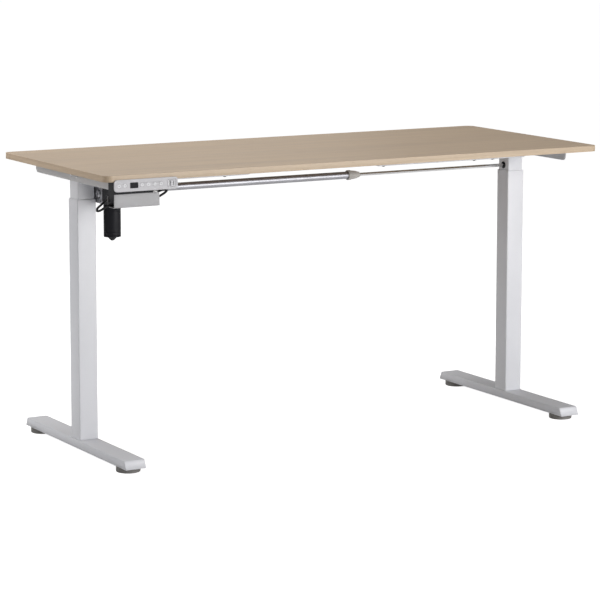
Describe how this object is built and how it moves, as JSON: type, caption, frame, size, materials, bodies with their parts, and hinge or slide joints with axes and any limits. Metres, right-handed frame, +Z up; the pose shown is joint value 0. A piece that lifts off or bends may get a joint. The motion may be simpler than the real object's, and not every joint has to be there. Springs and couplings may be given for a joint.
{
  "type": "height adjustable standing desk",
  "caption": "Rectangular oak-laminate top on two telescopic steel legs, raised by a motor and cross shaft, with a button panel at the front edge.",
  "frame": {"origin": "on the floor, below the middle of the desk, at its lowest height", "axes": "+X to the seated person's right along the tabletop, +Y away from the person, +Z up"},
  "size_m": [1.4, 0.6041, 0.7154],
  "materials": {
    "oak_laminate": "satin laminate",
    "white_paint": "satin powder coat",
    "grey_paint": "satin powder coat",
    "plated_steel": "zinc plated",
    "bright_steel": "drawn",
    "chrome_tube": "bright",
    "collar_plastic": "matte",
    "black_plastic": "matte",
    "glide_plastic": "matte",
    "liner_plastic": "matte",
    "nut_brass": "turned",
    "gear_nylon": "moulded",
    "panel_plastic": "satin",
    "button_plastic": "satin",
    "display_glass": "gloss",
    "lead_rubber": "matte"
  },
  "bodies": {
    "left_leg": {"left_foot": "white_paint", "left_outer_column": "white_paint", "left_guide_liner": "liner_plastic", "left_nut_post": "bright_steel", "left_lift_nut": "nut_brass"},
    "right_leg": {"right_foot": "white_paint", "right_outer_column": "white_paint", "right_guide_liner": "liner_plastic", "right_nut_post": "bright_steel", "right_lift_nut": "nut_brass"},
    "left_front_glide": {"left_front_glide": "glide_plastic"},
    "left_back_glide": {"left_back_glide": "glide_plastic"},
    "right_front_glide": {"right_front_glide": "glide_plastic"},
    "right_back_glide": {"right_back_glide": "glide_plastic"},
    "upper_frame": {"tabletop": "oak_laminate", "left_bracket": "grey_paint", "right_bracket": "grey_paint", "left_inner_column": "white_paint", "right_inner_column": "white_paint", "left_bearing_seat": "black_plastic", "right_bearing_seat": "black_plastic", "left_screw_bearing": "bright_steel", "right_screw_bearing": "bright_steel", "right_shaft_bush": "black_plastic", "front_rail_left": "white_paint", "front_rail_right": "white_paint", "front_rail_bar": "white_paint", "back_rail_left": "white_paint", "back_rail_right": "white_paint", "back_rail_bar": "white_paint", "gear_housing": "black_plastic", "motor_plate": "plated_steel", "motor_can": "black_plastic", "motor_end_cap": "black_plastic", "panel_body": "panel_plastic", "display_window": "display_glass", "usb_module": "panel_plastic", "control_box": "black_plastic", "power_inlet": "black_plastic", "cable_tray": "grey_paint", "motor_lead": "lead_rubber", "panel_lead": "lead_rubber"},
    "cross_shaft": {"left_hex_rod": "bright_steel", "right_hex_rod": "bright_steel", "drive_tube": "chrome_tube", "tube_collar": "collar_plastic", "worm_wheel": "gear_nylon", "left_bevel_pinion": "gear_nylon", "right_bevel_pinion": "gear_nylon"},
    "left_screw": {"left_lift_screw": "bright_steel", "left_bevel_wheel": "gear_nylon"},
    "right_screw": {"right_lift_screw": "bright_steel", "right_bevel_wheel": "gear_nylon"},
    "worm_shaft": {"worm": "bright_steel"},
    "up_button": {"up_button": "button_plastic"},
    "down_button": {"down_button": "button_plastic"},
    "memory_1_button": {"memory_1_button": "button_plastic"},
    "memory_2_button": {"memory_2_button": "button_plastic"},
    "memory_3_button": {"memory_3_button": "button_plastic"},
    "memory_4_button": {"memory_4_button": "button_plastic"}
  },
  "joints": [
    {"name": "lift", "type": "slide", "parent": "left_leg", "child": "upper_frame", "axis": [0, 0, 1], "range_m": [0, 0.45]},
    {"name": "right_leg_slide", "type": "slide", "parent": "upper_frame", "child": "right_leg", "axis": [0, 0, -1], "range_m": [0, 0.45]},
    {"name": "cross_shaft_turn", "type": "hinge", "parent": "upper_frame", "child": "cross_shaft", "pos_m": [0, -0.0094, 0.6416], "axis": [1, 0, 0], "range_deg": [0, 10801]},
    {"name": "left_screw_turn", "type": "hinge", "parent": "upper_frame", "child": "left_screw", "pos_m": [-0.626, -0.0094, 0.6416], "axis": [0, 0, 1], "range_deg": [0, 10801]},
    {"name": "right_screw_turn", "type": "hinge", "parent": "upper_frame", "child": "right_screw", "pos_m": [0.626, -0.0094, 0.6416], "axis": [0, 0, -1], "range_deg": [0, 10801]},
    {"name": "worm_turn", "type": "hinge", "parent": "upper_frame", "child": "worm_shaft", "pos_m": [-0.559, -0.0369, 0.6416], "axis": [0, 0, 1], "range_deg": [0, 216001]},
    {"name": "left_front_glide_height", "type": "slide", "parent": "left_leg", "child": "left_front_glide", "axis": [0, 0, -1], "range_m": [0, 0.008]},
    {"name": "left_back_glide_height", "type": "slide", "parent": "left_leg", "child": "left_back_glide", "axis": [0, 0, -1], "range_m": [0, 0.008]},
    {"name": "right_front_glide_height", "type": "slide", "parent": "right_leg", "child": "right_front_glide", "axis": [0, 0, -1], "range_m": [0, 0.008]},
    {"name": "right_back_glide_height", "type": "slide", "parent": "right_leg", "child": "right_back_glide", "axis": [0, 0, -1], "range_m": [0, 0.008]},
    {"name": "up_press", "type": "slide", "parent": "upper_frame", "child": "up_button", "axis": [0, 1, 0], "range_m": [0, 0.0008], "stiffness_N_per_m": 800, "springref_m": -0.0004},
    {"name": "down_press", "type": "slide", "parent": "upper_frame", "child": "down_button", "axis": [0, 1, 0], "range_m": [0, 0.0008], "stiffness_N_per_m": 800, "springref_m": -0.0004},
    {"name": "memory_1_press", "type": "slide", "parent": "upper_frame", "child": "memory_1_button", "axis": [0, 1, 0], "range_m": [0, 0.0008], "stiffness_N_per_m": 800, "springref_m": -0.0004},
    {"name": "memory_2_press", "type": "slide", "parent": "upper_frame", "child": "memory_2_button", "axis": [0, 1, 0], "range_m": [0, 0.0008], "stiffness_N_per_m": 800, "springref_m": -0.0004},
    {"name": "memory_3_press", "type": "slide", "parent": "upper_frame", "child": "memory_3_button", "axis": [0, 1, 0], "range_m": [0, 0.0008], "stiffness_N_per_m": 800, "springref_m": -0.0004},
    {"name": "memory_4_press", "type": "slide", "parent": "upper_frame", "child": "memory_4_button", "axis": [0, 1, 0], "range_m": [0, 0.0008], "stiffness_N_per_m": 800, "springref_m": -0.0004}
  ],
  "couplings": [
    {"joint": "right_leg_slide", "follows": "lift", "ratio": 1},
    {"joint": "cross_shaft_turn", "follows": "lift", "rad_per_m": 418.88},
    {"joint": "left_screw_turn", "follows": "lift", "rad_per_m": 418.88},
    {"joint": "right_screw_turn", "follows": "lift", "rad_per_m": 418.88},
    {"joint": "worm_turn", "follows": "lift", "rad_per_m": 8377.6}
  ]
}
